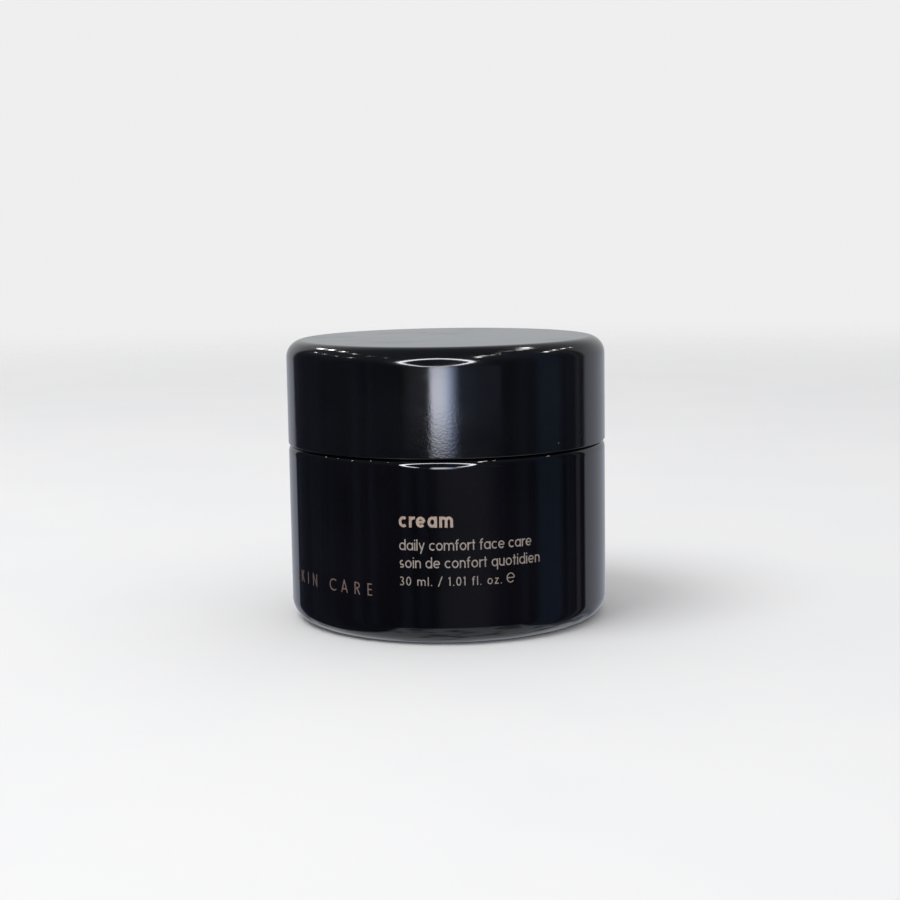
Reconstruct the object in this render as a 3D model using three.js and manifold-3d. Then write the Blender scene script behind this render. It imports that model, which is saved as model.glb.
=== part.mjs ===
// A 30 ml glass cream jar with a two-shell screw lid, in millimetres, +Z up.
// The origin is the centre of the circle the jar stands on.
import * as THREE from 'three';
import { mergeVertices } from 'three/addons/utils/BufferGeometryUtils.js';
import Module from 'manifold-3d';

const wasm = await Module();
wasm.setup();

// Driving dimensions of the closed jar.
const OUTER_RADIUS = 26.5;
const TOTAL_HEIGHT = 46.5;
const LID_BOTTOM = 29.4;
const RIM_TOP = 41.2;

// Glass jar.
const HEEL_RADIUS = 3.3;
const BASE_RING_INNER = 17;
const PUSH_UP = 1;
const PUSH_UP_SLOPE = 1.5;
const SHOULDER_GAP = 0.3;
const SHOULDER_RADIUS = 1;
const NECK_RADIUS = 21.6;
const NECK_FILLET = 0.5;
const RIM_ROUNDING = 0.8;
const BORE_RADIUS = 18.3;
const CAVITY_RADIUS = 20;
const CAVITY_FLOOR = 7.6;
const CAVITY_FLOOR_FILLET = 6;
const CAVITY_WALL_TOP = 24.5;
const BORE_BOTTOM = 29.5;

// Two-start screw thread, the same helix on the neck and in the lid.
const THREAD_STARTS = 2;
const THREAD_LEAD = 8;
const THREAD_DEPTH = 1.1;
const THREAD_ROOT_WIDTH = 1.9;
const THREAD_CREST_WIDTH = 1;
const THREAD_EMBED = 0.5;
const THREAD_SUNK = 0.2;
const THREAD_RUN_OUT = 0.35;
const NECK_THREAD_BOTTOM = 33.6;
const NECK_THREAD_TURNS = 0.7;
const LID_THREAD_TURNS = 0.64;
const THREAD_CLEARANCE = 0.4;

// Sealing disc, which rests on the rim and dips into the neck.
const DISC_THICKNESS = 0.8;
const DISC_FLANGE_RADIUS = 21;
const DISC_DISH_RADIUS = 17.9;
const DISC_DISH_DEPTH = 1.8;
const GRIP_LENGTH = 15;
const GRIP_THICKNESS = 1.2;
const GRIP_HEIGHT = 1.5;

// Lid: liner, threaded insert and outer shell.
const LINER_THICKNESS = 1;
const LINER_RADIUS = 22.6;
const INSERT_ROOT_RADIUS = NECK_RADIUS + THREAD_DEPTH + THREAD_CLEARANCE;
const INSERT_OUTER_RADIUS = 24.2;
const INSERT_TOP_THICKNESS = 1.2;
const INSERT_BOTTOM_RISE = 1.25;
const INSERT_CORNER_RADIUS = 0.8;
const BEAD_RADIUS = 24.65;
const BEAD_HEIGHT = 0.9;
const RIB_COUNT = 24;
const RIB_WIDTH = 0.8;
const RIB_HEIGHT = 9.5;
const RIB_EMBED = 0.4;
const SHELL_WALL = 1.5;
const SHELL_TOP_THICKNESS = 1.8;
const SHELL_TOP_RADIUS = 2.85;
const SHELL_EDGE_RADIUS = 0.3;
const LIP_RADIUS = 24.4;
const LIP_HEIGHT = 0.4;

// Cream fill, kept just clear of the glass.
const CREAM_TOP = 33.5;
const CREAM_CLEARANCE = 0.3;

// How finely round shapes are divided, and how far a chord may lie inside its arc.
const ARC_SAG = 0.03;
const OUTER_SEGMENTS = 72;
const INNER_SEGMENTS = 48;
const THREAD_SEGMENTS_PER_TURN = 48;
const GRIP_END_SEGMENTS = 5;

const GLASS = { color: 0x0b0a14, roughness: 0.06, metalness: 0 };
const GLOSS_BLACK = { color: 0x0a0a0d, roughness: 0.09, metalness: 0 };
const DARK_INSERT = { color: 0x131316, roughness: 0.45, metalness: 0 };
const WHITE_DISC = { color: 0xf0efec, roughness: 0.4, metalness: 0 };
const FOAM = { color: 0xdedcd5, roughness: 0.9, metalness: 0 };
const CREAM = { color: 0xf3ead9, roughness: 0.35, metalness: 0 };

// Points of an arc in the (radius, height) plane, with its angles in degrees.
function arc(centreRadius, centreHeight, radius, fromAngle, toAngle) {
  const from = THREE.MathUtils.degToRad(fromAngle);
  const sweep = THREE.MathUtils.degToRad(toAngle - fromAngle);
  const steps = Math.ceil(Math.abs(sweep) / (2 * Math.acos(1 - ARC_SAG / radius)));
  const points = [];
  for (let i = 0; i <= steps; i += 1) {
    const angle = from + (sweep * i) / steps;
    const across = centreRadius + radius * Math.cos(angle);
    const up = centreHeight + radius * Math.sin(angle);
    points.push(new THREE.Vector2(across, up));
  }
  return points;
}

function at(radius, height) {
  return new THREE.Vector2(radius, height);
}

// A profile spun about +Z. The profile runs anticlockwise in the (radius, height) plane.
function spun(profile, segments) {
  const geometry = new THREE.LatheGeometry(profile, segments);
  geometry.rotateX(Math.PI / 2);
  return geometry;
}

// A geometry as a manifold solid, with its shared corners merged and its empty triangles dropped.
function toSolid(geometry) {
  const bare = geometry.clone();
  bare.deleteAttribute('normal');
  bare.deleteAttribute('uv');
  const merged = mergeVertices(bare, 1e-4);
  const corners = merged.index.array;
  const kept = [];
  for (let i = 0; i < corners.length; i += 3) {
    const [a, b, c] = [corners[i], corners[i + 1], corners[i + 2]];
    if (a !== b && b !== c && c !== a) {
      kept.push(a, b, c);
    }
  }
  const vertProperties = new Float32Array(merged.attributes.position.array);
  const triVerts = new Uint32Array(kept);
  return new wasm.Manifold(new wasm.Mesh({ numProp: 3, vertProperties, triVerts }));
}

function toGeometry(solid) {
  const mesh = solid.getMesh();
  const geometry = new THREE.BufferGeometry();
  geometry.setAttribute('position', new THREE.BufferAttribute(mesh.vertProperties, 3));
  geometry.setIndex(new THREE.BufferAttribute(mesh.triVerts, 1));
  geometry.computeVertexNormals();
  return geometry;
}

function joined(base, additions) {
  return additions.reduce((solid, geometry) => solid.add(toSolid(geometry)), toSolid(base));
}

// One thread ridge: a trapezoid swept along a helix, sinking into its wall at both ends.
// A positive depth stands outwards from wallRadius, a negative one inwards.
function threadRidge(wallRadius, depth, bottom, turns, startAngle) {
  const steps = Math.ceil(turns * THREAD_SEGMENTS_PER_TURN);
  const outwards = Math.sign(depth);
  const rootRadius = wallRadius - outwards * THREAD_EMBED;
  const positions = [];
  for (let i = 0; i <= steps; i += 1) {
    const turn = (turns * i) / steps;
    const angle = startAngle + turn * 2 * Math.PI;
    const fromEnd = Math.min(turn, turns - turn) / (turns * THREAD_RUN_OUT);
    const rise = Math.sin((Math.min(fromEnd, 1) * Math.PI) / 2);
    const crestDepth = rise * (Math.abs(depth) + THREAD_SUNK) - THREAD_SUNK;
    const crestRadius = wallRadius + outwards * crestDepth;
    const height = bottom + turn * THREAD_LEAD;
    const section = [
      [rootRadius, -THREAD_ROOT_WIDTH / 2],
      [crestRadius, -THREAD_CREST_WIDTH / 2],
      [crestRadius, THREAD_CREST_WIDTH / 2],
      [rootRadius, THREAD_ROOT_WIDTH / 2],
    ];
    for (const [radius, offset] of section) {
      positions.push(radius * Math.cos(angle), radius * Math.sin(angle), height + offset);
    }
  }
  const triangles = [];
  const addTriangle = (a, b, c) => triangles.push(...(outwards > 0 ? [a, b, c] : [a, c, b]));
  for (let i = 0; i < steps; i += 1) {
    for (let side = 0; side < 4; side += 1) {
      const next = (side + 1) % 4;
      const [a, b, c, d] = [4 * i + side, 4 * i + next, 4 * i + 4 + next, 4 * i + 4 + side];
      addTriangle(a, c, b);
      addTriangle(a, d, c);
    }
  }
  const last = 4 * steps;
  addTriangle(0, 1, 2);
  addTriangle(0, 2, 3);
  addTriangle(last, last + 2, last + 1);
  addTriangle(last, last + 3, last + 2);
  const geometry = new THREE.BufferGeometry();
  geometry.setAttribute('position', new THREE.Float32BufferAttribute(positions, 3));
  geometry.setIndex(triangles);
  return geometry;
}

function threadRidges(wallRadius, depth, bottom, turns) {
  const ridges = [];
  for (let start = 0; start < THREAD_STARTS; start += 1) {
    ridges.push(threadRidge(wallRadius, depth, bottom, turns, (start * 2 * Math.PI) / THREAD_STARTS));
  }
  return ridges;
}

// Thick-walled glass jar: base ring with a push-up, round heel, shoulder and threaded neck.
function glassJar() {
  const shoulderTop = LID_BOTTOM - SHOULDER_GAP;
  const heelCentre = OUTER_RADIUS - HEEL_RADIUS;
  const shoulderCentre = OUTER_RADIUS - SHOULDER_RADIUS;
  const rimCentre = RIM_TOP - RIM_ROUNDING;
  const floorCentre = CAVITY_FLOOR + CAVITY_FLOOR_FILLET;
  const profile = [
    at(0, PUSH_UP),
    at(BASE_RING_INNER - PUSH_UP_SLOPE, PUSH_UP),
    at(BASE_RING_INNER, 0),
    ...arc(heelCentre, HEEL_RADIUS, HEEL_RADIUS, -90, 0),
    ...arc(shoulderCentre, shoulderTop - SHOULDER_RADIUS, SHOULDER_RADIUS, 0, 90),
    ...arc(NECK_RADIUS + NECK_FILLET, shoulderTop + NECK_FILLET, NECK_FILLET, 270, 180),
    ...arc(NECK_RADIUS - RIM_ROUNDING, rimCentre, RIM_ROUNDING, 0, 90),
    ...arc(BORE_RADIUS + RIM_ROUNDING, rimCentre, RIM_ROUNDING, 90, 180),
    at(BORE_RADIUS, BORE_BOTTOM),
    at(CAVITY_RADIUS, CAVITY_WALL_TOP),
    ...arc(CAVITY_RADIUS - CAVITY_FLOOR_FILLET, floorCentre, CAVITY_FLOOR_FILLET, 0, -90),
    at(0, CAVITY_FLOOR),
  ];
  const ridges = threadRidges(NECK_RADIUS, THREAD_DEPTH, NECK_THREAD_BOTTOM, NECK_THREAD_TURNS);
  return toGeometry(joined(spun(profile, OUTER_SEGMENTS), ridges));
}

// The fill follows the inside of the glass up to a flat surface.
function cream() {
  const radius = CAVITY_RADIUS - CREAM_CLEARANCE;
  const floor = CAVITY_FLOOR + CREAM_CLEARANCE;
  const fillet = CAVITY_FLOOR_FILLET - CREAM_CLEARANCE;
  const profile = [
    at(0, floor),
    ...arc(radius - fillet, floor + fillet, fillet, -90, 0),
    at(radius, CAVITY_WALL_TOP),
    at(BORE_RADIUS - CREAM_CLEARANCE, BORE_BOTTOM),
    at(BORE_RADIUS - CREAM_CLEARANCE, CREAM_TOP),
    at(0, CREAM_TOP),
  ];
  return spun(profile, INNER_SEGMENTS);
}

// A dished plastic disc with a low finger grip across it.
function sealingDisc() {
  const dishBottom = RIM_TOP - DISC_DISH_DEPTH;
  const floorTop = dishBottom + DISC_THICKNESS;
  const flangeTop = RIM_TOP + DISC_THICKNESS;
  const chamfer = DISC_THICKNESS / 2;
  const profile = [
    at(0, dishBottom),
    at(DISC_DISH_RADIUS - chamfer, dishBottom),
    at(DISC_DISH_RADIUS, dishBottom + chamfer),
    at(DISC_DISH_RADIUS, RIM_TOP),
    at(DISC_FLANGE_RADIUS, RIM_TOP),
    at(DISC_FLANGE_RADIUS, flangeTop),
    at(DISC_DISH_RADIUS - DISC_THICKNESS, flangeTop),
    at(DISC_DISH_RADIUS - DISC_THICKNESS, floorTop),
    at(0, floorTop),
  ];
  const half = GRIP_LENGTH / 2;
  const outline = new THREE.Shape();
  outline.moveTo(-half, -chamfer);
  outline.lineTo(half, -chamfer);
  outline.lineTo(half, 0);
  outline.quadraticCurveTo(half, GRIP_HEIGHT, half - 2 * GRIP_HEIGHT, GRIP_HEIGHT);
  outline.lineTo(2 * GRIP_HEIGHT - half, GRIP_HEIGHT);
  outline.quadraticCurveTo(-half, GRIP_HEIGHT, -half, 0);
  outline.closePath();
  const settings = { depth: GRIP_THICKNESS, bevelEnabled: false, curveSegments: GRIP_END_SEGMENTS };
  const grip = new THREE.ExtrudeGeometry(outline, settings);
  grip.translate(0, 0, -GRIP_THICKNESS / 2);
  grip.rotateX(Math.PI / 2);
  grip.translate(0, 0, floorTop);
  return toGeometry(joined(spun(profile, INNER_SEGMENTS), [grip]));
}

// The foam liner rests on the disc and fills the lid's end.
function lidLiner() {
  const bottom = RIM_TOP + DISC_THICKNESS;
  const profile = [
    at(0, bottom),
    at(LINER_RADIUS, bottom),
    at(LINER_RADIUS, bottom + LINER_THICKNESS),
    at(0, bottom + LINER_THICKNESS),
  ];
  return spun(profile, INNER_SEGMENTS);
}

// Threaded inner cap, with ribs and a bottom bead that the outer shell holds.
function lidInsert() {
  const ceiling = RIM_TOP + DISC_THICKNESS + LINER_THICKNESS;
  const top = ceiling + INSERT_TOP_THICKNESS;
  const bottom = LID_BOTTOM + INSERT_BOTTOM_RISE;
  const beadTop = bottom + BEAD_HEIGHT;
  const cornerCentre = INSERT_OUTER_RADIUS - INSERT_CORNER_RADIUS;
  const profile = [
    at(0, ceiling),
    at(INSERT_ROOT_RADIUS, ceiling),
    at(INSERT_ROOT_RADIUS, bottom),
    at(BEAD_RADIUS, bottom),
    at(BEAD_RADIUS, beadTop),
    at(INSERT_OUTER_RADIUS, beadTop + BEAD_RADIUS - INSERT_OUTER_RADIUS),
    ...arc(cornerCentre, top - INSERT_CORNER_RADIUS, INSERT_CORNER_RADIUS, 0, 90),
    at(0, top),
  ];
  const ribInner = INSERT_OUTER_RADIUS - RIB_EMBED;
  const ribDepth = BEAD_RADIUS - ribInner;
  const additions = [];
  for (let i = 0; i < RIB_COUNT; i += 1) {
    const rib = new THREE.BoxGeometry(ribDepth, RIB_WIDTH, RIB_HEIGHT);
    rib.translate(ribInner + ribDepth / 2, 0, top - 2 * INSERT_CORNER_RADIUS - RIB_HEIGHT / 2);
    rib.rotateZ((i * 2 * Math.PI) / RIB_COUNT);
    additions.push(rib);
  }
  const ridgeSpacing = THREAD_LEAD / THREAD_STARTS;
  const ridgeBottom = NECK_THREAD_BOTTOM - ridgeSpacing / 2;
  additions.push(...threadRidges(INSERT_ROOT_RADIUS, -THREAD_DEPTH, ridgeBottom, LID_THREAD_TURNS));
  return toGeometry(joined(spun(profile, OUTER_SEGMENTS), additions));
}

// Glossy outer shell: flat top, rounded edge, straight skirt and a lip inside its lower edge.
function lidShell() {
  const ceiling = TOTAL_HEIGHT - SHELL_TOP_THICKNESS;
  const innerRadius = OUTER_RADIUS - SHELL_WALL;
  const innerFillet = SHELL_TOP_RADIUS - SHELL_WALL;
  const lipBottom = LID_BOTTOM + SHELL_EDGE_RADIUS;
  const lipTop = lipBottom + LIP_HEIGHT;
  const edgeCentre = OUTER_RADIUS - SHELL_EDGE_RADIUS;
  const topCentre = OUTER_RADIUS - SHELL_TOP_RADIUS;
  const profile = [
    at(0, ceiling),
    ...arc(innerRadius - innerFillet, ceiling - innerFillet, innerFillet, 90, 0),
    at(innerRadius, lipTop + innerRadius - LIP_RADIUS),
    at(LIP_RADIUS, lipTop),
    at(LIP_RADIUS, lipBottom),
    at(LIP_RADIUS + SHELL_EDGE_RADIUS, LID_BOTTOM),
    ...arc(edgeCentre, LID_BOTTOM + SHELL_EDGE_RADIUS, SHELL_EDGE_RADIUS, -90, 0),
    ...arc(topCentre, TOTAL_HEIGHT - SHELL_TOP_RADIUS, SHELL_TOP_RADIUS, 0, 90),
    at(0, TOTAL_HEIGHT),
  ];
  return spun(profile, OUTER_SEGMENTS);
}

function named(name, geometry, look) {
  const mesh = new THREE.Mesh(geometry, new THREE.MeshStandardMaterial(look));
  mesh.name = name;
  return mesh;
}

const creamJar = new THREE.Group();
creamJar.add(named('glass_jar', glassJar(), GLASS));
creamJar.add(named('cream', cream(), CREAM));
creamJar.add(named('sealing_disc', sealingDisc(), WHITE_DISC));
creamJar.add(named('lid_liner', lidLiner(), FOAM));
creamJar.add(named('lid_insert', lidInsert(), DARK_INSERT));
creamJar.add(named('lid_shell', lidShell(), GLOSS_BLACK));

export default creamJar;
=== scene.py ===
"""A near-black glass cream jar with a glossy screw lid: its looks, on a pale floor in soft studio light.

Outlines are (radius, height) pairs in millimetres, and meshes are made in metres.
"""
import math

import bpy
import numpy as np
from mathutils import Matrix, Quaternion, Vector


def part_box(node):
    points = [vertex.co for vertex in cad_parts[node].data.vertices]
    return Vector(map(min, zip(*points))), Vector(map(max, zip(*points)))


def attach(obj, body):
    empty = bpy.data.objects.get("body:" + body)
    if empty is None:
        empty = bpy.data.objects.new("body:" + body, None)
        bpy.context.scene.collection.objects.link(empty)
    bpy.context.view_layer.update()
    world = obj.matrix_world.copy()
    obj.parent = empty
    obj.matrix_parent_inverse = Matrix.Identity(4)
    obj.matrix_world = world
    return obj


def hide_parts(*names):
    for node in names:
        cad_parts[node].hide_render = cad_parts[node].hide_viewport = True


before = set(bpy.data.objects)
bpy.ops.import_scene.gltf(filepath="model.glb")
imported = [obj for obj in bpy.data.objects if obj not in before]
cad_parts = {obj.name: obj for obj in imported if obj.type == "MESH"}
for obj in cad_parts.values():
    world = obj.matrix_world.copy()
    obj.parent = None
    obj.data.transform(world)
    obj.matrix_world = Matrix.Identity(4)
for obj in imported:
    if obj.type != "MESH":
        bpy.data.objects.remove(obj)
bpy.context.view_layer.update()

MM = 0.001


def box_mm(node):
    low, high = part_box(node)
    return low / MM, high / MM


_, JAR_HIGH = box_mm("glass_jar")
LID_LOW, LID_HIGH = box_mm("lid_shell")
INSERT_LOW, INSERT_HIGH = box_mm("lid_insert")
LINER_LOW, LINER_HIGH = box_mm("lid_liner")
DISC_LOW, DISC_HIGH = box_mm("sealing_disc")
_, CREAM_HIGH = box_mm("cream")

RADIUS = LID_HIGH.x
RIM_TOP = JAR_HIGH.z
LID_BOTTOM = LID_LOW.z
LID_TOP = LID_HIGH.z

# Glass jar, in millimetres.
HEEL = 3.3
BASE_RING_INNER = 17.0
PUSH_UP = 1.0
KNURLS = 96
KNURL_DEPTH = 0.10
KNURL_FADE_IN = (17.6, 18.2)
KNURL_FADE_OUT = (22.2, 22.9)
SHOULDER_TOP = LID_BOTTOM - 0.18
SHOULDER = (0.75, 1.35)
NECK_RADIUS = 21.6
NECK_FILLET = 0.6
RIM_ROUNDING = 1.1
BORE = 18.3
CAVITY = 20.0
CAVITY_FLOOR = 7.6
CAVITY_FILLET = 6.0
CAVITY_WALL_TOP = 24.5
BORE_BOTTOM = 29.5

# The mould's parting line: half its width round the glass, and how far it stands off.
SEAM_WIDTH = math.radians(0.55)
SEAM_HEIGHT = 0.025

# The outside of the glass is just inside the lid's radius, to leave room for the parting line.
BODY_RADIUS = RADIUS - 0.03

# Screw thread, the same helix on the neck and in the lid.
THREAD_STARTS = 2
THREAD_LEAD = 8.0
THREAD_DEPTH = 1.1
THREAD_HALF_WIDTH = 0.95
THREAD_HALF_CREST = 0.35 * THREAD_HALF_WIDTH
THREAD_RUN_OUT = 0.3
NECK_THREAD = {"bottom": 33.6, "turns": 0.7}
LID_THREAD = {"bottom": 31.6, "turns": 0.64}

# How finely round shapes are divided.
SEGMENTS = 384
ARC_STEP = math.radians(7)
THREAD_STEP = 0.12
LONG_STRETCH = 0.9
HOLD_DISTANCE = 0.05


# ---------------------------------------------------------------- outlines and meshes


def arc(centre, radius, start, end):
    """Points on an arc in the (radius, height) plane, from one angle to another in degrees.

    A pair of radii, across and up, gives part of an oval.
    """
    across, up = np.broadcast_to(radius, 2)
    start, end = math.radians(start), math.radians(end)
    steps = max(2, math.ceil(abs(end - start) / ARC_STEP))
    angles = np.linspace(start, end, steps + 1)
    return [(centre[0] + across * math.cos(a), centre[1] + up * math.sin(a)) for a in angles]


def line(start, end, step):
    """Points on a straight stretch, its two ends included."""
    count = max(1, math.ceil(math.dist(start, end) / step))
    return [tuple(p) for p in np.linspace(start, end, count + 1)]


def without_repeats(outline):
    kept = [outline[0]]
    for point in outline[1:]:
        if math.dist(point, kept[-1]) > 1e-4:
            kept.append(point)
    return kept


def held(outline):
    """Adds a point close to each end of every long stretch, so that its shading stays straight."""
    kept = [outline[0]]
    for a, b in zip(outline, outline[1:]):
        length = math.dist(a, b)
        if length > LONG_STRETCH:
            near = HOLD_DISTANCE / length
            kept.extend(tuple(p) for p in (np.array(a) + np.outer((near, 1 - near), np.subtract(b, a))))
        kept.append(b)
    return kept


def new_piece(name, vertices, faces, smooth_angle=35):
    """A shaded mesh object from vertices in metres."""
    mesh = bpy.data.meshes.new(name)
    mesh.from_pydata(vertices, [], faces)
    mesh.validate()
    mesh.polygons.foreach_set("use_smooth", [True] * len(mesh.polygons))
    mesh.set_sharp_from_angle(angle=math.radians(smooth_angle))
    piece = bpy.data.objects.new(name, mesh)
    bpy.context.collection.objects.link(piece)
    return piece


def spun(name, outline, shape=None, segments=SEGMENTS):
    """An outline that starts and ends on the axis, spun about Z.

    shape(radius, height, angle) takes three arrays and gives the radius and the height to use.
    """
    outline = held(without_repeats(outline))
    rings = np.array(outline[1:-1])
    angle = np.linspace(0, 2 * math.pi, segments, endpoint=False)
    radius = np.repeat(rings[:, :1], segments, axis=1)
    height = np.repeat(rings[:, 1:], segments, axis=1)
    if shape:
        radius, height = shape(radius, height, np.broadcast_to(angle, radius.shape))
    points = np.stack([radius * np.cos(angle), radius * np.sin(angle), height], axis=-1) * MM
    first = len(rings) * segments
    ends = [(0, 0, outline[0][1] * MM), (0, 0, outline[-1][1] * MM)]
    vertices = np.concatenate([points.reshape(-1, 3), ends]).tolist()
    here = np.arange(segments)
    after = (here + 1) % segments
    faces = []
    for ring in range(len(rings) - 1):
        low, high = ring * segments, (ring + 1) * segments
        quads = np.stack([low + here, low + after, high + after, high + here], axis=1)
        faces.extend(quads.tolist())
    last = first - segments
    faces.extend([first, int(b), int(a)] for a, b in zip(here, after))
    faces.extend([first + 1, int(last + a), int(last + b)] for a, b in zip(here, after))
    return new_piece(name, vertices, faces)


def smoothstep(low, high, value):
    t = np.clip((value - low) / (high - low), 0, 1)
    return t * t * (3 - 2 * t)


def thread_height(angle, height, bottom, turns):
    """How far the thread stands off its wall, from 0 to 1, at an angle and a height."""
    best = np.zeros_like(height)
    for start in range(THREAD_STARTS):
        turn = (angle / (2 * math.pi) - start / THREAD_STARTS) % 1.0
        off = np.abs(height - bottom - THREAD_LEAD * turn)
        from_end = np.minimum(turn, turns - turn) / (turns * THREAD_RUN_OUT)
        flank = 1 - smoothstep(THREAD_HALF_CREST, THREAD_HALF_WIDTH, off)
        best = np.maximum(best, flank * smoothstep(0, 1, from_end))
    return best


# ---------------------------------------------------------------- materials


class Nodes:
    """Adds linked nodes to one node tree."""

    def __init__(self, tree):
        self.tree = tree

    def feed(self, socket, value):
        """Links a socket to another one, or gives it a number, a colour or a vector."""
        if isinstance(value, bpy.types.NodeSocket):
            self.tree.links.new(value, socket)
        elif socket.type == "RGBA" and len(value) == 3:
            socket.default_value = (*value, 1)
        else:
            socket.default_value = value

    def add(self, kind, **inputs):
        node = self.tree.nodes.new(kind)
        for socket, value in inputs.items():
            self.feed(node.inputs[socket.replace("_", " ")], value)
        return node

    def between(self, value, low, high, to_low=0.0, to_high=1.0):
        """A value mapped from one range to another, smoothly and with its ends held."""
        limits = {"From_Min": low, "From_Max": high, "To_Min": to_low, "To_Max": to_high}
        node = self.add("ShaderNodeMapRange", Value=value, **limits)
        node.interpolation_type = "SMOOTHSTEP"
        return node.outputs["Result"]

    def maths(self, operation, a, b):
        node = self.tree.nodes.new("ShaderNodeMath")
        node.operation = operation
        self.feed(node.inputs[0], a)
        self.feed(node.inputs[1], b)
        return node.outputs["Value"]

    def blend(self, share, first, second):
        """One colour turning into another."""
        node = self.tree.nodes.new("ShaderNodeMix")
        node.data_type = "RGBA"
        self.feed(node.inputs[0], share)
        self.feed(node.inputs[6], first)
        self.feed(node.inputs[7], second)
        return node.outputs[2]

    def noise(self, place, size, detail=3.0, stretch=(1, 1, 1)):
        """Noise whose blotches are about size across, in the units of place."""
        at = self.add("ShaderNodeMapping", Vector=place, Scale=stretch).outputs["Vector"]
        return self.add("ShaderNodeTexNoise", Vector=at, Scale=1 / size, Detail=detail).outputs["Fac"]


class Look(Nodes):
    """A principled material, with procedural detail on its sockets. Sizes are in metres."""

    def __init__(self, name, **constants):
        self.material = bpy.data.materials.new(name)
        self.material.use_nodes = True
        super().__init__(self.material.node_tree)
        self.shader = self.tree.nodes["Principled BSDF"]
        for socket, value in constants.items():
            self.feed(self.shader.inputs[socket.replace("_", " ")], value)
        self.place = self.add("ShaderNodeTexCoord").outputs["Object"]
        self.normal = None

    def blotches(self, size, low, high, to_low=0.0, to_high=1.0, detail=3.0, stretch=(1, 1, 1)):
        return self.between(self.noise(self.place, size, detail, stretch), low, high, to_low, to_high)

    def specks(self, spacing, radius, share):
        """1 inside sparse round specks, 0 elsewhere: a share of the cells holds one each."""
        node = self.add("ShaderNodeTexVoronoi", Vector=self.place, Scale=1 / spacing)
        inside = self.between(node.outputs["Distance"], radius / spacing, 0.6 * radius / spacing)
        lucky = self.add("ShaderNodeSeparateColor", Color=node.outputs["Color"]).outputs["Red"]
        return self.maths("MULTIPLY", inside, self.maths("LESS_THAN", lucky, share))

    def bump(self, height, distance):
        """Adds a bump, distance metres tall, over the ones added before."""
        node = self.add("ShaderNodeBump", Height=height, Distance=distance, Strength=1.0)
        if self.normal:
            self.feed(node.inputs["Normal"], self.normal)
        self.normal = node.outputs["Normal"]
        self.drive("Normal", self.normal)

    def drive(self, socket, value):
        self.feed(self.shader.inputs[socket], value)


DUST = (0.20, 0.19, 0.18)


def handled_gloss(look, first, second, smooth, dull):
    """Near-black gloss that has been handled: faint smears, and a few specks of dust."""
    tone = look.blotches(0.018, 0.35, 0.7)
    specks = look.specks(spacing=0.0035, radius=0.00011, share=0.08)
    look.drive("Base Color", look.blend(specks, look.blend(tone, first, second), DUST))
    smears = look.blotches(0.009, 0.45, 0.72, detail=6.0, stretch=(1, 1, 1.8))
    fine = look.blotches(0.0012, 0.4, 0.8, 0.0, 0.35, detail=4.0)
    worn = look.maths("MULTIPLY", look.maths("ADD", smears, fine), dull - smooth)
    roughness = look.maths("ADD", worn, smooth)
    look.drive("Roughness", look.maths("ADD", roughness, look.maths("MULTIPLY", specks, 0.4)))
    look.bump(specks, 0.00003)


def dark_glass():
    """Very dark violet glass: it looks black, and moulding has left it very slightly wavy."""
    look = Look("dark_glass", IOR=1.52)
    handled_gloss(look, (0.0017, 0.0017, 0.0024), (0.0030, 0.0028, 0.0044), smooth=0.012, dull=0.04)
    look.bump(look.noise(look.place, 0.012, detail=1.0, stretch=(1, 1, 0.6)), 0.00001)
    return look.material


def lid_gloss():
    """Moulded black plastic: wavier than the glass, with a fine grain towards its lower edge."""
    look = Look("lid_plastic", IOR=1.53)
    handled_gloss(look, (0.0022, 0.0023, 0.0030), (0.0040, 0.0041, 0.0054), smooth=0.095, dull=0.14)
    look.bump(look.noise(look.place, 0.010, detail=1.0), 0.000012)
    height = look.add("ShaderNodeSeparateXYZ", Vector=look.place).outputs["Z"]
    grainy = look.between(height, (LID_TOP - 4) * MM, (LID_BOTTOM + 5) * MM, 0.1, 1.0)
    grain = look.noise(look.place, 0.00045, detail=4.0, stretch=(1, 1, 1.2))
    look.bump(look.maths("MULTIPLY", grain, grainy), 0.00001)
    return look.material


def insert_plastic():
    look = Look("insert_plastic", IOR=1.49)
    tone = look.blotches(0.006, 0.35, 0.7, detail=5.0)
    look.drive("Base Color", look.blend(tone, (0.009, 0.009, 0.010), (0.016, 0.016, 0.018)))
    look.drive("Roughness", look.blotches(0.002, 0.3, 0.7, 0.30, 0.46, detail=4.0))
    look.bump(look.noise(look.place, 0.0003), 0.000012)
    return look.material


def disc_plastic():
    look = Look("disc_plastic", IOR=1.49, Subsurface_Weight=0.35, Subsurface_Scale=0.0012)
    tone = look.blotches(0.008, 0.35, 0.7, detail=4.0)
    look.drive("Base Color", look.blend(tone, (0.84, 0.83, 0.80), (0.78, 0.77, 0.735)))
    look.drive("Roughness", look.blotches(0.003, 0.3, 0.7, 0.30, 0.44, detail=4.0))
    look.bump(look.noise(look.place, 0.00045), 0.000015)
    return look.material


def liner_foam():
    look = Look("liner_foam", IOR=1.45, Sheen_Weight=0.15)
    tone = look.blotches(0.004, 0.3, 0.7, detail=5.0)
    look.drive("Base Color", look.blend(tone, (0.80, 0.79, 0.76), (0.70, 0.69, 0.655)))
    look.drive("Roughness", look.blotches(0.001, 0.3, 0.7, 0.62, 0.85))
    cells = look.add("ShaderNodeTexVoronoi", Vector=look.place, Scale=1 / 0.00035)
    look.bump(cells.outputs["Distance"], 0.00005)
    return look.material


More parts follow.
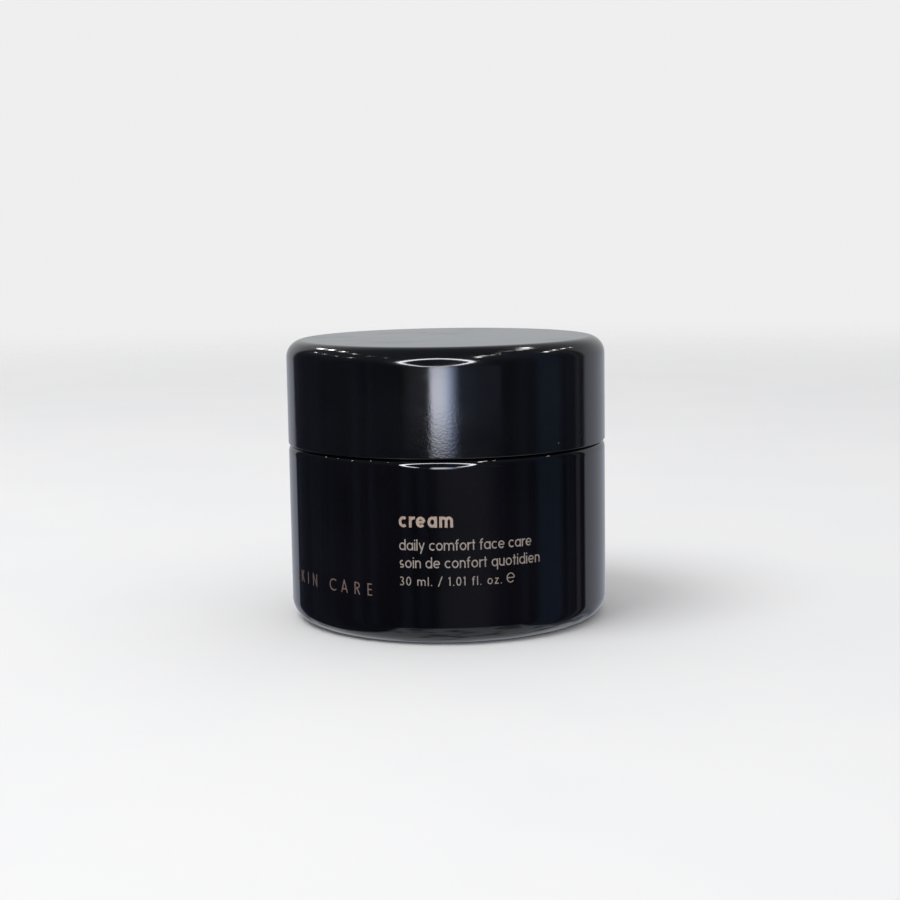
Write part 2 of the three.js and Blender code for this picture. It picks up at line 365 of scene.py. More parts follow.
def cream_look():
    look = Look("cream", IOR=1.44, Subsurface_Weight=0.6, Subsurface_Scale=0.003)
    look.drive("Subsurface Radius", (1.0, 0.75, 0.5))
    tone = look.blotches(0.010, 0.35, 0.7)
    look.drive("Base Color", look.blend(tone, (0.92, 0.87, 0.77), (0.89, 0.825, 0.71)))
    look.drive("Roughness", look.blotches(0.004, 0.3, 0.7, 0.24, 0.40, detail=4.0))
    look.bump(look.noise(look.place, 0.0014, detail=4.0), 0.00003)
    return look.material


def print_ink(name, first, second):
    look = Look(name, IOR=1.5)
    look.drive("Base Color", look.blend(look.blotches(0.0005, 0.35, 0.65), first, second))
    look.drive("Roughness", look.blotches(0.0004, 0.3, 0.7, 0.38, 0.55))
    look.bump(look.noise(look.place, 0.0002, detail=2.0), 0.000006)
    return look.material


# ---------------------------------------------------------------- pieces


def finished(piece, material, body, slot, *nodes):
    piece.data.materials.append(material)
    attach(piece, body)
    if nodes:
        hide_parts(*nodes)
    return piece


def seam(angle):
    """How far the parting line's low ridge, up both sides, stands off the glass, from 0 to 1."""
    off = np.abs((angle + math.pi / 2) % math.pi - math.pi / 2)
    return 1 - smoothstep(0.3 * SEAM_WIDTH, SEAM_WIDTH, off)


def jar_shape(radius, height, angle):
    """Adds the thread, the parting line and the knurled base ring to the spun glass."""
    on_neck = (radius > NECK_RADIUS - 0.02) & (radius < NECK_RADIUS + 0.02)
    ridge = thread_height(angle, height, **NECK_THREAD) * THREAD_DEPTH
    outside = (radius > NECK_RADIUS - 0.02) & (height > 0.4)
    radius = radius + np.where(on_neck, ridge, 0) + np.where(outside, SEAM_HEIGHT * seam(angle), 0)
    ring = smoothstep(*KNURL_FADE_IN, radius) * (1 - smoothstep(*KNURL_FADE_OUT, radius))
    knurl = (0.5 - 0.5 * np.cos(KNURLS * angle)) * ring * KNURL_DEPTH
    return radius, height + np.where(height < 0.01, knurl, 0)


def glass_jar():
    heel = (BODY_RADIUS - HEEL, HEEL)
    shoulder = (BODY_RADIUS - SHOULDER[0], SHOULDER_TOP - SHOULDER[1])
    root = (NECK_RADIUS + NECK_FILLET, SHOULDER_TOP + NECK_FILLET)
    rim_out = (NECK_RADIUS - RIM_ROUNDING, RIM_TOP - RIM_ROUNDING)
    rim_in = (BORE + RIM_ROUNDING, RIM_TOP - RIM_ROUNDING)
    floor = (CAVITY - CAVITY_FILLET, CAVITY_FLOOR + CAVITY_FILLET)
    outline = [
        (0, PUSH_UP * 1.25),
        *line((3, PUSH_UP * 1.22), (BASE_RING_INNER - 2.5, PUSH_UP), 2),
        *arc((BASE_RING_INNER - 1.5, PUSH_UP / 2), PUSH_UP / 2, 90, 0),
        *line((BASE_RING_INNER, 0), (heel[0], 0), 0.3),
        *arc(heel, HEEL, -90, 0),
        *arc(shoulder, SHOULDER, 0, 90),
        *arc(root, NECK_FILLET, 270, 180),
        *line((NECK_RADIUS, root[1]), (NECK_RADIUS, rim_out[1]), THREAD_STEP),
        *arc(rim_out, RIM_ROUNDING, 0, 90),
        *arc(rim_in, RIM_ROUNDING, 90, 180),
        (BORE, BORE_BOTTOM + 1.2),
        *line((BORE + 0.06, BORE_BOTTOM + 0.4), (CAVITY - 0.06, CAVITY_WALL_TOP - 0.4), 0.8),
        (CAVITY, CAVITY_WALL_TOP - 1.2),
        *arc(floor, CAVITY_FILLET, 0, -90),
        (0, CAVITY_FLOOR),
    ]
    piece = spun("jar_glass", outline, jar_shape)
    return finished(piece, dark_glass(), "jar", "dark_glass", "glass_jar")


SWIRL_TURNS = 4.5
SWIRL_HEIGHT = 0.42
PEAK_HEIGHT = 1.9
PEAK_RADIUS = 2.4
DISH_DEPTH = 0.45
EDGE_CLIMB = 0.35
FILL_GAP = 0.02


def cream():
    """The fill meets the glass, and its top keeps the low spiral that the filling nozzle left."""
    surface = CREAM_HIGH.z
    edge = BORE - FILL_GAP / 2
    wall = CAVITY - FILL_GAP

    def swirl(radius, height, angle):
        on_top = height > surface - 0.5
        winding = np.cos(angle - radius / edge * SWIRL_TURNS * 2 * math.pi)
        inner = 1 - smoothstep(0.86 * edge, 0.99 * edge, radius)
        peak = PEAK_HEIGHT * np.exp(-((radius / PEAK_RADIUS) ** 2))
        dish = -DISH_DEPTH * smoothstep(0.35 * edge, 0.95 * edge, radius)
        climb = EDGE_CLIMB * smoothstep(0.955 * edge, edge, radius)
        lift = SWIRL_HEIGHT * winding * inner * smoothstep(0, 1.5, radius) + peak + dish + climb
        return radius, height + np.where(on_top, lift, 0)

    fillet = CAVITY_FILLET
    floor = CAVITY_FLOOR + FILL_GAP
    outline = [
        (0, floor),
        *arc((wall - fillet, floor + fillet), fillet, -90, 0),
        (wall, CAVITY_WALL_TOP - 1.2),
        (edge, BORE_BOTTOM + 1.2),
        *line((edge, surface - 0.6), (edge, surface), 0.3),
        *line((edge, surface), (0.1, surface), 0.14),
        (0, surface + PEAK_HEIGHT),
    ]
    piece = spun("cream_fill", outline, swirl)
    return finished(piece, cream_look(), "jar", "cream", "cream")


DISC_DISH = 17.9
DISC_THICKNESS = 0.8
RING_SPACING = 1.3
RING_HEIGHT = 0.05
GATE_RADIUS = 0.9
GATE_HEIGHT = 0.25


def sealing_disc():
    """A dished disc with rounded edges and fine moulded rings, and a low finger grip across it."""
    flange, dish, thick = DISC_HIGH.x, DISC_DISH, DISC_THICKNESS
    bottom, top = DISC_LOW.z, DISC_HIGH.z
    floor = bottom + thick
    bend = 0.35

    def rings(radius, height, angle):
        on_floor = (np.abs(height - floor) < 0.01) & (radius < dish - 2.5)
        wave = RING_HEIGHT * np.cos(radius / RING_SPACING * 2 * math.pi) * smoothstep(8.5, 9.5, radius)
        vestige = GATE_HEIGHT * (1 - smoothstep(0.5, GATE_RADIUS, radius))
        return radius, height + np.where(on_floor, wave + vestige, 0)

    outline = [
        (0, bottom),
        *arc((dish - bend, bottom + bend), bend, -90, 0),
        *arc((dish + 0.2, RIM_TOP - 0.2), 0.2, 180, 90),
        *arc((flange - bend, RIM_TOP + bend), bend, -90, 0),
        *arc((flange - bend, top - bend), bend, 0, 90),
        *arc((dish - thick + bend, top - bend), bend, 90, 180),
        *arc((dish - thick - bend, floor + bend), bend, 0, -90),
        *line((dish - thick - bend - 0.2, floor), (0.1, floor), 0.16),
        (0, floor + GATE_HEIGHT),
    ]
    plastic = disc_plastic()
    piece = spun("disc_plate", outline, rings)
    finished(piece, plastic, "disc", "disc_plastic", "sealing_disc")
    finished(finger_grip(floor), plastic, "disc", "disc_plastic")


GRIP_LENGTH = 15.0
GRIP_THICKNESS = 1.2
GRIP_HEIGHT = 1.5


def finger_grip(floor):
    """A low rounded bar: a half-oval section, lofted along X, that narrows and drops to its ends."""
    stations = np.linspace(-1, 1, 41)
    around = np.linspace(0, math.pi, 17)
    vertices = []
    for t in stations:
        rise = (1 - abs(t) ** 5) ** 0.5
        half = GRIP_THICKNESS / 2 * (1 - 0.25 * abs(t) ** 4) + 0.18 * (1 - rise)
        for a in around:
            across = half * math.copysign(abs(math.cos(a)) ** 0.6, math.cos(a))
            up = floor - 0.1 + (GRIP_HEIGHT + 0.05) * rise * math.sin(a) ** 0.6
            flare = 0.22 * math.exp(-((up - floor) / 0.22) ** 2) * math.copysign(1, across)
            vertices.append((t * GRIP_LENGTH / 2 * MM, (across + flare) * MM, up * MM))
    count = len(around)
    faces = []
    for i in range(len(stations) - 1):
        for j in range(count - 1):
            a = i * count + j
            faces.append((a, a + 1, a + count + 1, a + count))
        faces.append((i * count + count - 1, i * count, (i + 1) * count, (i + 1) * count + count - 1))
    faces.append(tuple(range(count - 1, -1, -1)))
    faces.append(tuple((len(stations) - 1) * count + j for j in range(count)))
    return new_piece("disc_grip", vertices, faces)


PRESSED_DEPTH = 0.12
PRESSED_FADE_IN = (17.2, 17.8)
PRESSED_FADE_OUT = (21.0, 21.5)


def lid_liner():
    """Foam with the rim's ring pressed into its underside."""
    low, high, edge = LINER_LOW.z, LINER_HIGH.z, LINER_HIGH.x
    bend = 0.25

    def pressed(radius, height, angle):
        under = height < low + 0.01
        ring = smoothstep(*PRESSED_FADE_IN, radius) * (1 - smoothstep(*PRESSED_FADE_OUT, radius))
        return radius, height + np.where(under, PRESSED_DEPTH * (1 - ring), 0)

    outline = [
        (0, low),
        *line((0.5, low), (edge - bend, low), 0.25),
        *arc((edge - bend, low + PRESSED_DEPTH + bend), bend, -90, 0),
        *arc((edge - bend, high - bend), bend, 0, 90),
        (0, high),
    ]
    piece = spun("liner_foam", outline, pressed)
    return finished(piece, liner_foam(), "liner", "liner_foam", "lid_liner")


THREAD_CLEARANCE = 0.4
INSERT_ROOT = NECK_RADIUS + THREAD_DEPTH + THREAD_CLEARANCE
INSERT_OUTER = 24.2
BEAD_HEIGHT = 0.9
RIBS = 24


def insert_shape(radius, height, angle):
    """Adds the inner thread and the outer anti-rotation ribs."""
    on_wall = np.abs(radius - INSERT_ROOT) < 0.02
    ridge = thread_height(angle, height, **LID_THREAD) * THREAD_DEPTH
    off = np.abs((angle + math.pi / RIBS) % (2 * math.pi / RIBS) - math.pi / RIBS) * INSERT_OUTER
    low, high = INSERT_LOW.z + 2.0, INSERT_HIGH.z - 1.6
    band = smoothstep(low, low + 0.6, height) * (1 - smoothstep(high - 0.6, high, height))
    rib = (1 - smoothstep(0.25, 0.5, off)) * band * (INSERT_HIGH.x - INSERT_OUTER)
    on_outside = np.abs(radius - INSERT_OUTER) < 0.02
    return radius - np.where(on_wall, ridge, 0) + np.where(on_outside, rib, 0), height


def lid_insert():
    ceiling, top, bottom = LINER_HIGH.z, INSERT_HIGH.z, INSERT_LOW.z
    bead, wall = INSERT_HIGH.x, INSERT_OUTER
    bend, corner = 0.25, 0.8
    outline = [
        (0, ceiling),
        *arc((INSERT_ROOT - bend, ceiling - bend), bend, 90, 0),
        *line((INSERT_ROOT, ceiling - bend), (INSERT_ROOT, bottom + bend), THREAD_STEP),
        *arc((INSERT_ROOT + bend, bottom + bend), bend, 180, 270),
        *arc((bead - bend, bottom + bend), bend, -90, 0),
        *arc((bead - bend, bottom + BEAD_HEIGHT - bend), bend, 0, 60),
        *line((wall, bottom + 1.5 * BEAD_HEIGHT), (wall, top - corner), 0.4),
        *arc((wall - corner, top - corner), corner, 0, 90),
        (0, top),
    ]
    piece = spun("insert_cap", outline, insert_shape)
    return finished(piece, insert_plastic(), "lid", "insert_plastic", "lid_insert")


TOP_FILLET = 2.85
SHELL_WALL = 1.5
SHELL_TOP_THICKNESS = 1.8
LIP_HEIGHT = 0.4
LOWER_EDGE = 0.18
LIP = 24.4


def lid_shell():
    """The glossy outer shell: flat top, round edge, straight skirt and the lip inside its lower edge."""
    ceiling = LID_TOP - SHELL_TOP_THICKNESS
    inner = RADIUS - SHELL_WALL
    inner_fillet = TOP_FILLET - SHELL_WALL
    lip_low = LID_BOTTOM + LOWER_EDGE
    lip_high = lip_low + LIP_HEIGHT
    outline = [
        (0, ceiling),
        *arc((inner - inner_fillet, ceiling - inner_fillet), inner_fillet, 90, 0),
        (inner, lip_high + 0.7),
        *arc((LIP + 0.2, lip_high - 0.2), 0.2, 120, 180),
        *arc((LIP + LOWER_EDGE, lip_low), LOWER_EDGE, 180, 270),
        *arc((RADIUS - LOWER_EDGE, LID_BOTTOM + LOWER_EDGE), LOWER_EDGE, -90, 0),
        *arc((RADIUS - TOP_FILLET, LID_TOP - TOP_FILLET), TOP_FILLET, 0, 90),
        (0, LID_TOP),
    ]
    piece = spun("lid_outer", outline)
    return finished(piece, lid_gloss(), "lid", "lid_plastic", "lid_shell")


# ---------------------------------------------------------------- printing


def stroke(*points):
    return list(points)


def bow(centre, radii, start, end):
    """Part of an oval, its angles in degrees, anticlockwise when end is above start."""
    steps = max(3, math.ceil(abs(end - start) / 15))
    angles = np.radians(np.linspace(start, end, steps + 1))
    return [(centre[0] + radii[0] * math.cos(a), centre[1] + radii[1] * math.sin(a)) for a in angles]


def letters(weight, tall=1.42):
    """A plain geometric alphabet: each letter's width and its centre lines, in units of the x-height.

    weight is the stroke's thickness and tall the height of ascenders, digits and capitals.
    """
    h = weight / 2
    wide = 0.86
    mid = wide / 2
    rx, ry = mid - h, 0.5 - h
    left, right = h, wide - h
    hook = 0.2
    bowl = bow((mid, 0.5), (rx, ry), 0, 360)
    arch = 0.37 - h
    n_right = h + 2 * arch
    big = tall / 2
    digit = 0.4
    cap = tall
    low_s = bow((0.3, 0.27), (0.3 - h, 0.27 - h), -145, 90)
    high_s = bow((0.3, 0.75 - h), (0.27 - h, 0.25), 50, 270)
    arches = {
        "n": [stroke((h, 0), (h, 1)), [*bow((h + arch, 1 - h - arch), (arch, arch), 180, 0), (n_right, 0)]],
        "u": [[(h, 1), *bow((h + arch, h + arch), (arch, arch), 180, 360)],
              stroke((n_right, 0), (n_right, 1))],
    }
    second = [(x + 2 * arch, y) for x, y in arches["n"][1]]
    full = 0.8
    return {
        "a": (wide, [bowl, stroke((right, 0), (right, 1))]),
        "c": (0.76, [bow((mid, 0.5), (rx, ry), 48, 312)]),
        "d": (wide, [bowl, stroke((right, 0), (right, tall))]),
        "e": (wide, [bow((mid, 0.5), (rx, ry), 2, 318), stroke((left, 0.5), (right, 0.5))]),
        "f": (0.46, [[(0.2, 0), *bow((0.2 + hook, tall - hook - h), (hook, hook), 180, 70)],
                     stroke((0, 1 - h), (0.44, 1 - h))]),
        "i": (weight, [stroke((h, 0), (h, 1)), stroke((h, 1.22), (h, 1.22 + weight))]),
        "l": (weight, [stroke((h, 0), (h, tall))]),
        "m": (2 * n_right, [*arches["n"], second]),
        "n": (n_right + h, arches["n"]),
        "o": (wide, [bowl]),
        "q": (wide, [bowl, stroke((right, -0.42), (right, 1))]),
        "r": (0.44, [stroke((h, 0), (h, 1)), bow((h + 0.34, 0.66 - h), (0.34, 0.34), 180, 75)]),
        "s": (0.6, [high_s, low_s]),
        "t": (0.44, [stroke((0.21, 0), (0.21, 1.32)), stroke((0, 1 - h), (0.42, 1 - h))]),
        "u": (n_right + h, arches["u"]),
        "y": (0.8, [stroke((h, 1), (0.42, 0.04)), stroke((0.8 - h, 1), (0.24, -0.42))]),
        "z": (0.66, [stroke((0.04, 1 - h), (0.62 - h, 1 - h), (h, h), (0.64, h))]),
        "0": (2 * digit, [bow((digit, big), (digit - h, big - h), 0, 360)]),
        "1": (0.34, [stroke((0, tall - 0.26), (0.3 - h, tall - h), (0.3 - h, 0))]),
        "3": (0.7, [bow((0.32, tall - 0.36), (0.33 - h, 0.36 - h), 145, -90),
                    bow((0.32, 0.38), (0.38 - h, 0.38 - h), 90, -145)]),
        "/": (0.62, [stroke((0, -0.12), (0.6, tall + 0.1))]),
        ".": (weight, [stroke((h, 0), (h, weight))]),
        " ": (0.3, []),
        "A": (full * 1.1, [stroke((0, 0), (0.44, cap), (0.88, 0)), stroke((0.16, 0.42), (0.72, 0.42))]),
        "C": (full * 1.15, [bow((big, big), (big - h, big - h), 50, 310)]),
        "E": (0.62, [stroke((0.6, cap - h), (h, cap - h), (h, h), (0.6, h)), stroke((h, big), (0.54, big))]),
        "I": (weight, [stroke((h, 0), (h, cap))]),
        "K": (full, [stroke((h, 0), (h, cap)), stroke((0.74, cap), (h, 0.56)),
                     stroke((0.3, 0.76), (full, 0))]),
        "N": (full * 1.15, [stroke((h, 0), (h, cap), (0.92 - h, 0), (0.92 - h, cap))]),
        "R": (full * 0.9, [[(h, 0), (h, cap - h), *bow((0.34, cap - 0.38), (0.34, 0.38 - h), 90, -90),
                            (h, 0.66)],
                           stroke((0.36, 0.66), (0.7, 0))]),
        "S": (full * 0.85, [bow((0.33, cap - 0.34), (0.32 - h, 0.34 - h), 40, 270),
                            bow((0.33, 0.38), (0.36 - h, 0.38 - h), 90, -145)]),
    }


PRINT_PROUD = 0.014
PRINT_SUNK = 0.02
LONGEST_STEP = 0.3


def slab(path, half, layer):
    """A stroke as a thin closed strip on the glass: its path runs along the surface, in millimetres."""
    fine = [path[0]]
    for a, b in zip(path, path[1:]):
        count = max(1, math.ceil(math.dist(a, b) / LONGEST_STEP))
        fine.extend(tuple(p) for p in np.linspace(a, b, count + 1)[1:])
    points = np.array(fine)
    closed = math.dist(fine[0], fine[-1]) < 1e-6
    steps = np.diff(points, axis=0)
    steps /= np.linalg.norm(steps, axis=1)[:, None]
    before = np.vstack([steps[-1] if closed else steps[0], steps])
    after = np.vstack([steps, steps[0] if closed else steps[-1]])
    along = before + after
    along /= np.linalg.norm(along, axis=1)[:, None]
    miter = half / np.clip((along * before).sum(1), 0.5, 1)[:, None]
    side = np.stack([-along[:, 1], along[:, 0]], axis=1) * miter
    top = BODY_RADIUS + PRINT_PROUD + layer
    bottom = BODY_RADIUS - PRINT_SUNK
    vertices = []
    for p, s in zip(points, side):
        for q, radius in ((p + s, top), (p - s, top), (p - s, bottom), (p + s, bottom)):
            angle = q[0] / BODY_RADIUS - math.pi / 2
            vertices.append((radius * math.cos(angle) * MM, radius * math.sin(angle) * MM, q[1] * MM))
    faces = []
    for i in range(len(points) - 1):
        for k in range(4):
            a, b = 4 * i + k, 4 * i + (k + 1) % 4
            faces.append((a, b, b + 4, a + 4))
    if not closed:
        last = len(vertices) - 4
        faces.append((3, 2, 1, 0))
        faces.append((last, last + 1, last + 2, last + 3))
    return vertices, faces


def printed(name, words, x_height, weight, left, width, baseline, ink, tall=1.42):
    """One line of print on the front, its left end and width along the glass, in millimetres."""
    alphabet = letters(weight, tall)
    glyphs = [alphabet[letter] for letter in words]
    spare = width / x_height - sum(advance for advance, _ in glyphs)
    tracking = spare / max(1, len(glyphs) - 1)
    vertices, faces = [], []
    cursor = 0.0
    layer = 0.0
    for advance, strokes in glyphs:
        for path in strokes:
            placed = [(left + (cursor + x) * x_height, baseline + y * x_height) for x, y in path]
            layer = (layer + 0.0007) % 0.0035
            new_vertices, new_faces = slab(placed, weight * x_height / 2, layer)
            base = len(vertices)
            vertices.extend(new_vertices)
            faces.extend(tuple(base + v for v in face) for face in new_faces)
        cursor += advance + tracking
    piece = new_piece(name, vertices, faces, smooth_angle=50)
    return finished(piece, ink, "jar", "dark_glass")


PRINT_LEFT = -7.75
NAME_BASELINE = 18.8
FIRST_LINE = 15.2
LINE_SPACING = 2.78
MAKER_LEFT = -32.5


def front_print():
    bright = print_ink("ink_bright", (0.33, 0.235, 0.17), (0.40, 0.30, 0.225))
    pale = print_ink("ink_pale", (0.24, 0.195, 0.165), (0.32, 0.27, 0.235))
    # This darker ink is painted shade: the maker's line is printed darker to stand for the shadow that falls
    # on it.
    dim = print_ink("ink_painted_shade", (0.12, 0.075, 0.065), (0.16, 0.11, 0.095))
    thin = {"x_height": 1.22, "weight": 0.16, "left": PRINT_LEFT, "ink": pale}
    printed("print_name", "cream", 1.72, 0.25, PRINT_LEFT, 8.5, NAME_BASELINE, bright)
    printed("print_line_1", "daily comfort face care", width=21.3, baseline=FIRST_LINE, **thin)
    second = FIRST_LINE - LINE_SPACING
    printed("print_line_2", "soin de confort quotidien", width=22.8, baseline=second, **thin)
    third = FIRST_LINE - 2 * LINE_SPACING
    thin["x_height"] = 0.98
    printed("print_volume", "30 ml. / 1.01 fl. oz.", width=16.1, baseline=third, **thin)
    printed("print_mark", "e", 1.6, 0.10, PRINT_LEFT + 16.9, 1.4, third, pale)
    printed("print_maker", "SKIN CARE", 1.38, 0.15, MAKER_LEFT, 20.0, 7.65, dim)


# ---------------------------------------------------------------- stage, light and camera


def stage_mesh(name, vertices, faces):
    mesh = bpy.data.meshes.new(name)
    mesh.from_pydata([tuple(v) for v in vertices], [], faces)
    item = bpy.data.objects.new(name, mesh)
    bpy.context.collection.objects.link(item)
    return item


FLOOR_RADIUS = 0.9


def floor_look():
    """Pale, slightly uneven, fading out to the background at its edge and when seen from below."""
    look = Look("pale_floor", IOR=1.3, Specular_IOR_Level=0.1)
    tone = look.blotches(0.05, 0.3, 0.7, detail=4.0)
    look.drive("Base Color", look.blend(tone, (0.80, 0.80, 0.80), (0.785, 0.787, 0.79)))
    look.drive("Roughness", look.blotches(0.02, 0.3, 0.7, 0.75, 0.9))
    reach = look.add("ShaderNodeVectorMath", Vector=look.place)
    reach.operation = "LENGTH"
    far = look.between(reach.outputs["Value"], 0.35 * FLOOR_RADIUS, 0.95 * FLOOR_RADIUS)
    below = look.add("ShaderNodeNewGeometry").outputs["Backfacing"]
    look.drive("Alpha", look.maths("SUBTRACT", 1.0, look.maths("MAXIMUM", far, below)))
    return look.material


def floor():
    turns = np.linspace(0, 2 * math.pi, 96, endpoint=False)
    vertices = [(FLOOR_RADIUS * math.cos(a), FLOOR_RADIUS * math.sin(a), 0) for a in turns]
    item = stage_mesh("floor", vertices, [tuple(range(len(vertices)))])
    item.data.materials.append(floor_look())
    item.visible_glossy = False


def glow(name, vertices, faces, colour, strength):
    """A bright card that is seen only in reflections. Returns its nodes and its emission node."""
    card = stage_mesh(name, vertices, faces)
    material = bpy.data.materials.new(name)
    material.use_nodes = True
    nodes = Nodes(material.node_tree)
    nodes.tree.nodes.clear()
    light = nodes.add("ShaderNodeEmission", Color=colour, Strength=strength)
    nodes.add("ShaderNodeOutputMaterial", Surface=light.outputs["Emission"])
    card.data.materials.append(material)
    card.visible_camera = False
    card.visible_diffuse = False
    card.visible_shadow = False
    card.visible_transmission = False
    return nodes, light


def direction(azimuth, elevation):
    """A unit vector: azimuth 0 is straight in front of the jar, 90 to its right."""
    a, e = math.radians(azimuth), math.radians(elevation)
    return Vector((math.sin(a) * math.cos(e), -math.cos(a) * math.cos(e), math.sin(e)))


STREAK_DISTANCE = 0.1
STREAK_TOP = 0.037
STREAK_LEFT = -0.075
STREAK_RIGHT = 0.090
STREAK_STRENGTH = 12.0


def streak_card():
    """A low card that the lid's front shows as one upright streak, and the glass doesn't.

    It is brightest a little left of the middle, with a soft tail to the right, and dims downwards.
    """
    y = -RADIUS * MM - STREAK_DISTANCE
    slope = (CAMERA_HEIGHT - LID_BOTTOM * MM) / (CAMERA_DISTANCE - RADIUS * MM)
    low = LID_BOTTOM * MM - slope * STREAK_DISTANCE - 0.0005
    corners = [(x, y, z) for x, z in ((STREAK_LEFT, low), (STREAK_RIGHT, low), (STREAK_RIGHT, STREAK_TOP),
                                      (STREAK_LEFT, STREAK_TOP))]
    nodes, light = glow("streak_card", corners, [(0, 1, 2, 3)], (1, 1, 1), 1.0)
    place = nodes.add("ShaderNodeTexCoord").outputs["Object"]
    across, _, height = nodes.add("ShaderNodeSeparateXYZ", Vector=place).outputs
    cold = nodes.between(across, -0.012, 0.014)
    nodes.feed(light.inputs["Color"], nodes.blend(cold, (0.84, 0.88, 1.0), (0.55, 0.68, 1.0)))
    rise = nodes.between(across, -0.0262, -0.0172)
    fall = nodes.between(across, -0.005, 0.020, 1.0, 0.03)
    tail = nodes.between(across, 0.020, STREAK_RIGHT, 1.0, 0.0)
    left_tail = nodes.between(across, STREAK_LEFT, -0.045, 0.0, 0.02)
    core = nodes.maths("MULTIPLY", nodes.maths("MULTIPLY", rise, fall), tail)
    dimming = nodes.between(height, low, 0.027, 0.22, 1.0)
    profile = nodes.maths("MULTIPLY", nodes.maths("MAXIMUM", core, left_tail), dimming)
    nodes.feed(light.inputs["Strength"], nodes.maths("MULTIPLY", profile, STREAK_STRENGTH))


RING_AZIMUTH = -7.0
RING_EDGES = (((28.5, 24), 24.5), ((24, 21), 23))
RING_POINT = 0.45


def window_ring():
    """A lens-shaped frame of light in front and above, seen as a thin ring in the rounded edges.

    RING_EDGES are its outer and inner edge: half width, half height and middle elevation, in degrees.
    RING_POINT is how pointed its two ends are, 0 for an oval.
    """
    turns = np.linspace(0, 2 * math.pi, 72, endpoint=False)
    vertices, faces = [], []
    for size, middle in RING_EDGES:
        for a in turns:
            rise = math.sin(a) * abs(math.sin(a)) ** RING_POINT
            azimuth = RING_AZIMUTH + size[0] * math.cos(a)
            vertices.append(1.5 * direction(azimuth, middle + size[1] * rise))
    count = len(turns)
    for i in range(count):
        j = (i + 1) % count
        faces.append((i, j, count + j, count + i))
    glow("window_ring", vertices, faces, (0.92, 0.93, 1.0), 24.0)


CEILING = 2.0
LAMP_SHARE = 0.038
LAMP_ROWS = ((-2.7, -0.4, 2.6, 0.8), (-1.5, -1.1, 2.7, 0.7), (0.9, -1.6, 1.5, 0.26), (2.1, 0.3, 2.3, 0.5))


def ceiling_lamps():
    """Rows of round ceiling lamps, seen as specks along the rounded edges.

    Each row has its place to the right, its nearest and farthest lamp, and the lamps' spacing.
    LAMP_SHARE is a lamp's radius as a share of its distance along the ceiling.
    """
    turns = np.linspace(0, 2 * math.pi, 12, endpoint=False)
    vertices, faces = [], []
    for across, near, far, spacing in LAMP_ROWS:
        for k, away in enumerate(np.arange(near, far, spacing)):
            centre = Vector((across + 0.1 * math.sin(5 * k), away, CEILING))
            size = LAMP_SHARE * centre.xy.length * (0.8 + 0.45 * math.sin(7 * k + across))
            base = len(vertices)
            vertices.extend(centre + size * Vector((math.cos(a), math.sin(a), 0)) for a in turns)
            faces.append(tuple(range(base, base + len(turns))))
    glow("ceiling_lamps", vertices, faces, (1.0, 0.98, 0.94), 42.0)


KEY_PLACE = (-0.35, -0.25, 0.75)
KEY_SIZE = 0.5
KEY_POWER = 3.2


def soft_light(name, place, size, power):
    """A round lamp that shines on the jar and isn't reflected in it."""
    data = bpy.data.lights.new(name, "AREA")
    data.shape = "DISK"
    data.size = size
    data.energy = power
    lamp = bpy.data.objects.new(name, data)
    lamp.location = place
    lamp.rotation_mode = "QUATERNION"
    lamp.rotation_quaternion = (-Vector(place)).to_track_quat("-Z", "Y")
    lamp.visible_glossy = False
    bpy.context.collection.objects.link(lamp)


# What shiny surfaces reflect, going round the jar: azimuth, half width and soft edge in degrees.
FRONT_GLOW = (13, 15, 10)
BLUE_SCREEN = (78, 10, 5)
THIN_LAMP = (108, 2.0, 1.5)
BACK_WALL = (168, 51, 1.5)


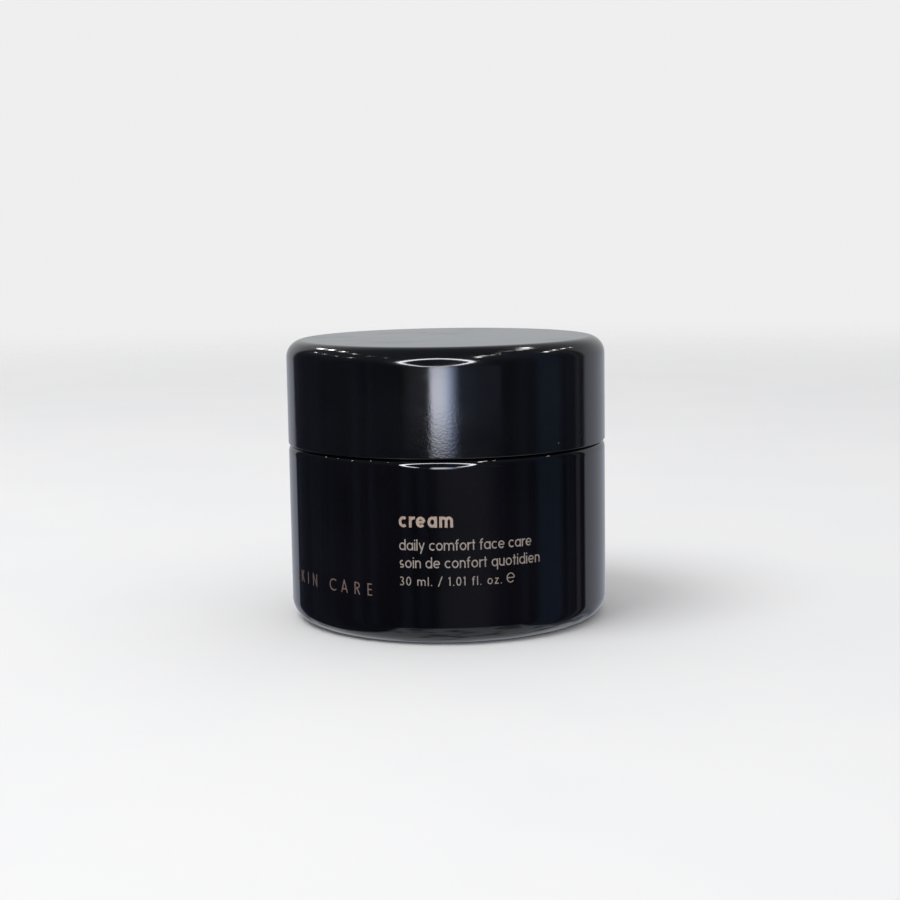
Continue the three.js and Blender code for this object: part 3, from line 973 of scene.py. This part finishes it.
def studio_world():
    """A pale background, a soft dome, and for reflections a dim room with a bright wall behind.

    The room's ceiling is a little paler than its walls, and a patchy pale ground lies in front.
    """
    world = bpy.data.worlds.new("studio")
    bpy.context.scene.world = world
    world.use_nodes = True
    nodes = Nodes(world.node_tree)
    nodes.tree.nodes.clear()
    towards = nodes.add("ShaderNodeTexCoord").outputs["Generated"]
    level = nodes.add("ShaderNodeVectorMath", Vector=nodes.add(
        "ShaderNodeMapping", Vector=towards, Scale=(1, 1, 0)).outputs["Vector"])
    level.operation = "NORMALIZE"

    def side(azimuth, half_width, soft_edge):
        """1 towards one stretch of the room's walls, 0 elsewhere."""
        aim = nodes.tree.nodes.new("ShaderNodeVectorMath")
        aim.operation = "DOT_PRODUCT"
        nodes.feed(aim.inputs[0], level.outputs["Vector"])
        nodes.feed(aim.inputs[1], direction(azimuth, 0))
        outside = math.cos(math.radians(half_width + soft_edge))
        inside = math.cos(math.radians(max(0, half_width - soft_edge)))
        return nodes.between(aim.outputs["Value"], outside, inside)

    across, _, up = nodes.add("ShaderNodeSeparateXYZ", Vector=towards).outputs
    patches = nodes.noise(towards, 0.15, stretch=(1, 1, 0.1))
    room = nodes.blend(nodes.between(patches, 0.4, 0.7), (0.028, 0.031, 0.047), (0.062, 0.070, 0.112))
    room = nodes.blend(nodes.between(up, 0.2, 0.7), room, (0.13, 0.14, 0.16))
    room = nodes.blend(side(*FRONT_GLOW), room, (0.131, 0.138, 0.165))
    room = nodes.blend(side(*BLUE_SCREEN), room, (0.072, 0.115, 0.19))
    room = nodes.blend(side(*THIN_LAMP), room, (0.16, 0.16, 0.18))
    upper_wall = nodes.between(up, 0.95, 0.20)
    lower_wall = nodes.between(up, -0.55, -0.25, 0.3, 1.0)
    wall = nodes.maths("MULTIPLY", side(*BACK_WALL), nodes.maths("MULTIPLY", upper_wall, lower_wall))
    paint = nodes.blend(nodes.between(up, -0.12, 0.12), (0.54, 0.565, 0.65), (0.55, 0.57, 0.58))
    room = nodes.blend(wall, room, paint)
    from_left = nodes.between(across, -0.60, -0.50)
    from_right = nodes.between(across, 0.75, 0.69)
    near_floor = nodes.maths("MULTIPLY", from_left, from_right)
    ground = nodes.maths("MULTIPLY", near_floor, nodes.between(up, -0.44, -0.50))
    stains = nodes.between(nodes.noise(towards, 0.25), 0.36, 0.52)
    room = nodes.blend(ground, room, nodes.blend(stains, (0.22, 0.25, 0.34), (0.78, 0.81, 0.85)))
    rays = nodes.add("ShaderNodeLightPath")
    dome = nodes.blend(rays.outputs["Is Glossy Ray"], (0.80, 0.80, 0.81), room)
    colour = nodes.blend(rays.outputs["Is Camera Ray"], dome, BACKGROUND)
    background = nodes.add("ShaderNodeBackground", Color=colour, Strength=1.0)
    nodes.add("ShaderNodeOutputWorld", Surface=background.outputs["Background"])


BACKGROUND = (0.86, 0.86, 0.86)
CAMERA_DISTANCE = 0.29566
CAMERA_HEIGHT = 0.06597
CAMERA_LENS = 70.85
CAMERA_TURN = (-7.433, 0.100, -0.919)


def camera():
    """Looks slightly down at the jar from the front. CAMERA_TURN is pitch, yaw and roll in degrees."""
    data = bpy.data.cameras.new("camera")
    data.lens = CAMERA_LENS
    data.clip_start = 0.01
    item = bpy.data.objects.new("camera", data)
    item.location = (0, -CAMERA_DISTANCE, CAMERA_HEIGHT)
    pitch, yaw, roll = (math.radians(angle) for angle in CAMERA_TURN)
    item.rotation_mode = "QUATERNION"
    level = direction(180 - math.degrees(yaw), math.degrees(pitch)).to_track_quat("-Z", "Y")
    item.rotation_quaternion = level @ Quaternion((0, 0, 1), roll)
    bpy.context.collection.objects.link(item)
    bpy.context.scene.camera = item


camera()
glass_jar()
front_print()
cream()
sealing_disc()
lid_liner()
lid_insert()
lid_shell()
floor()
streak_card()
window_ring()
ceiling_lamps()
soft_light("key", KEY_PLACE, KEY_SIZE, KEY_POWER)
studio_world()
bpy.context.scene.view_settings.view_transform = "Standard"
